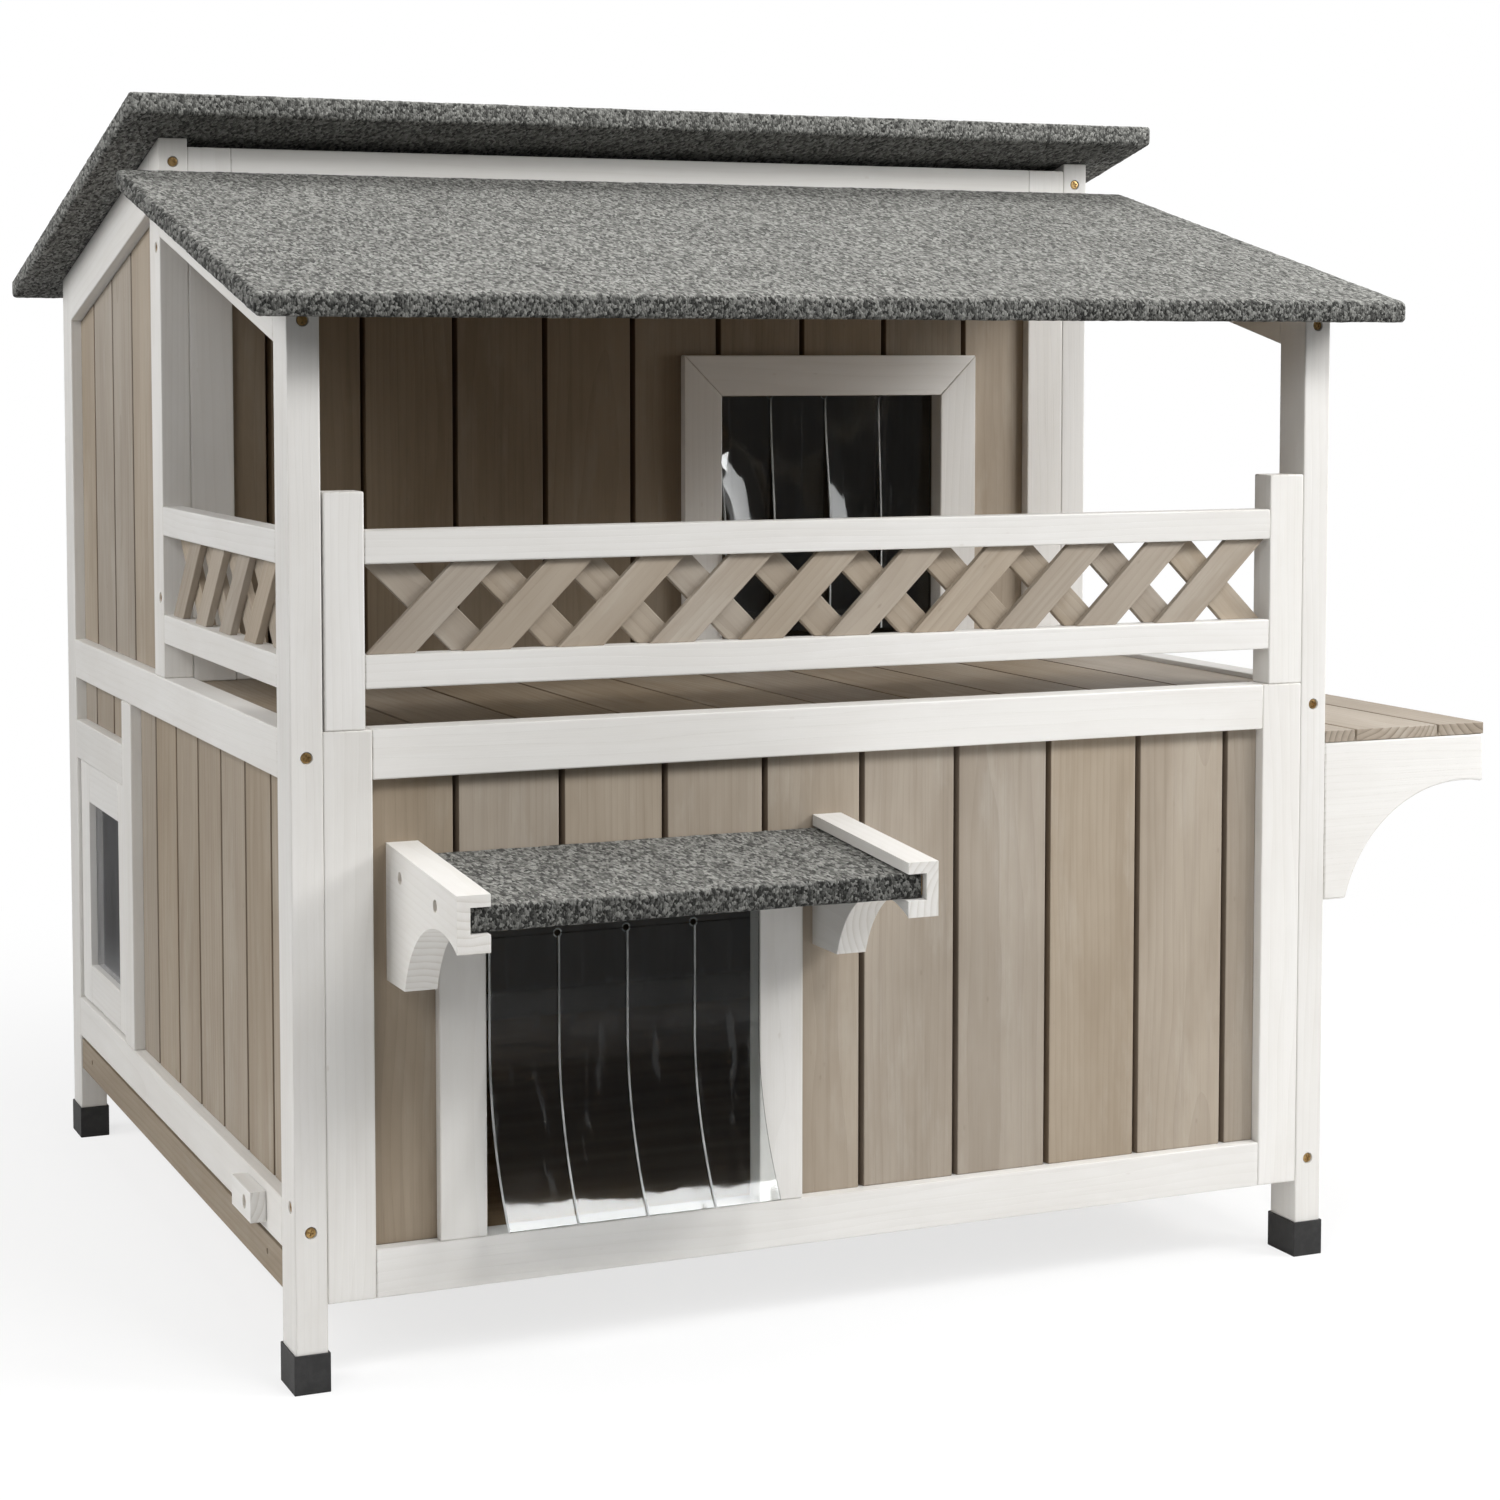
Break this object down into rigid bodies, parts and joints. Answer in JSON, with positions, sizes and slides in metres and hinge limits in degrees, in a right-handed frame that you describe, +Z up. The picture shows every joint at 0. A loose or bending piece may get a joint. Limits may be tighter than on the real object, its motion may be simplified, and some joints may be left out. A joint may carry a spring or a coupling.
{
  "type": "outdoor cat house",
  "caption": "Two-storey timber cat house with a balcony, felted sloping roofs, a hinged main roof, strip-curtain doorways, a side escape door, a pull-out floor tray and a side shelf",
  "frame": {"origin": "middle of the overall footprint, on the floor under the feet", "axes": "+X to the right as seen from the front (the shelf side), +Y to the back, +Z up"},
  "size_m": [0.881, 0.861, 0.7899],
  "materials": {
    "white_wood": "white stain, matt, faint grain",
    "taupe_boards": "grey-brown stain, matt, faint grain",
    "roofing_felt": "grey mineral grit on bitumen felt",
    "plywood": "bare plywood",
    "black_rubber": "matt black",
    "brass_screws": "yellow passivated",
    "zinc_steel": "zinc plated",
    "clear_sheet": "clear flexible sheet",
    "clear_pane": "clear rigid pane"
  },
  "bodies": {
    "house": {"awning_board": "plywood", "awning_felt": "roofing_felt", "awning_rafters": "white_wood", "back_boards": "taupe_boards", "back_rails": "white_wood", "canopy_board": "plywood", "canopy_felt": "roofing_felt", "curtain_heads": "clear_sheet", "door_corbels": "white_wood", "doorway_frame": "white_wood", "escape_surround": "white_wood", "floor_bearers": "white_wood", "floor_boards": "taupe_boards", "foot_caps": "black_rubber", "front_boards": "taupe_boards", "front_rails": "white_wood", "front_stiles": "white_wood", "hatch_trim": "white_wood", "hinge_pins": "zinc_steel", "hinge_wall_leaves": "zinc_steel", "left_boards": "taupe_boards", "left_bottom_rail": "white_wood", "post_back_left": "white_wood", "post_back_right": "white_wood", "post_front_left": "white_wood", "post_front_right": "white_wood", "post_mid_left": "white_wood", "post_mid_right": "white_wood", "railing_lattice": "taupe_boards", "railing_newels": "white_wood", "railing_rails": "white_wood", "right_boards": "taupe_boards", "right_bottom_rail": "white_wood", "screws": "brass_screws", "shelf_boards": "taupe_boards", "shelf_brackets": "white_wood", "side_floor_rails": "white_wood", "side_lattice": "taupe_boards", "side_railing_rails": "white_wood", "side_rake_rails": "white_wood", "tray_runners": "white_wood", "wall_boards": "taupe_boards", "wall_rails": "white_wood", "wall_stiles": "white_wood"},
    "roof": {"roof_board": "plywood", "roof_felt": "roofing_felt", "hinge_roof_leaves": "zinc_steel"},
    "escape_door": {"escape_door_frame": "white_wood", "escape_door_pane": "clear_pane"},
    "tray": {"tray_floor": "plywood", "tray_fascia": "taupe_boards"},
    "button": {"turn_button": "white_wood"},
    "front_strip_1_leaf": {"front_strip_1": "clear_sheet"},
    "front_strip_2_leaf": {"front_strip_2": "clear_sheet"},
    "front_strip_3_leaf": {"front_strip_3": "clear_sheet"},
    "front_strip_4_leaf": {"front_strip_4": "clear_sheet"},
    "hatch_strip_1_leaf": {"hatch_strip_1": "clear_sheet"},
    "hatch_strip_2_leaf": {"hatch_strip_2": "clear_sheet"},
    "hatch_strip_3_leaf": {"hatch_strip_3": "clear_sheet"},
    "hatch_strip_4_leaf": {"hatch_strip_4": "clear_sheet"}
  },
  "joints": [
    {"name": "roof_lift", "type": "hinge", "parent": "house", "child": "roof", "pos_m": [-0.0505, 0.3765, 0.67102], "axis": [-1, 0, 0], "range_deg": [0, 65]},
    {"name": "escape_door_swing", "type": "hinge", "parent": "house", "child": "escape_door", "pos_m": [-0.4015, 0.327, 0.207], "axis": [0, 0, -1], "range_deg": [0, 100]},
    {"name": "tray_slide", "type": "slide", "parent": "house", "child": "tray", "axis": [-1, 0, 0], "range_m": [0, 0.6]},
    {"name": "button_turn", "type": "hinge", "parent": "house", "child": "button", "pos_m": [-0.4155, -0.2205, 0.097], "axis": [1, 0, 0], "range_deg": [0, 90]},
    {"name": "front_strip_1_swing", "type": "hinge", "parent": "house", "child": "front_strip_1_leaf", "pos_m": [-0.26755, -0.303, 0.2644], "axis": [1, 0, 0], "range_deg": [-70, 60], "stiffness_Nm_per_rad": 0.05, "springref_deg": -0.97},
    {"name": "front_strip_2_swing", "type": "hinge", "parent": "house", "child": "front_strip_2_leaf", "pos_m": [-0.22285, -0.303, 0.2644], "axis": [1, 0, 0], "range_deg": [-70, 60], "stiffness_Nm_per_rad": 0.05, "springref_deg": -0.97},
    {"name": "front_strip_3_swing", "type": "hinge", "parent": "house", "child": "front_strip_3_leaf", "pos_m": [-0.17815, -0.303, 0.2644], "axis": [1, 0, 0], "range_deg": [-70, 60], "stiffness_Nm_per_rad": 0.05, "springref_deg": -0.97},
    {"name": "front_strip_4_swing", "type": "hinge", "parent": "house", "child": "front_strip_4_leaf", "pos_m": [-0.13345, -0.303, 0.2644], "axis": [1, 0, 0], "range_deg": [-70, 60], "stiffness_Nm_per_rad": 0.05, "springref_deg": -0.97},
    {"name": "hatch_strip_1_swing", "type": "hinge", "parent": "house", "child": "hatch_strip_1_leaf", "pos_m": [0.02745, 0.044, 0.5852], "axis": [1, 0, 0], "range_deg": [-60, 70], "stiffness_Nm_per_rad": 0.05},
    {"name": "hatch_strip_2_swing", "type": "hinge", "parent": "house", "child": "hatch_strip_2_leaf", "pos_m": [0.07215, 0.044, 0.5852], "axis": [1, 0, 0], "range_deg": [-60, 70], "stiffness_Nm_per_rad": 0.05},
    {"name": "hatch_strip_3_swing", "type": "hinge", "parent": "house", "child": "hatch_strip_3_leaf", "pos_m": [0.11685, 0.044, 0.5852], "axis": [1, 0, 0], "range_deg": [-60, 70], "stiffness_Nm_per_rad": 0.05},
    {"name": "hatch_strip_4_swing", "type": "hinge", "parent": "house", "child": "hatch_strip_4_leaf", "pos_m": [0.16155, 0.044, 0.5852], "axis": [1, 0, 0], "range_deg": [-60, 70], "stiffness_Nm_per_rad": 0.05}
  ]
}
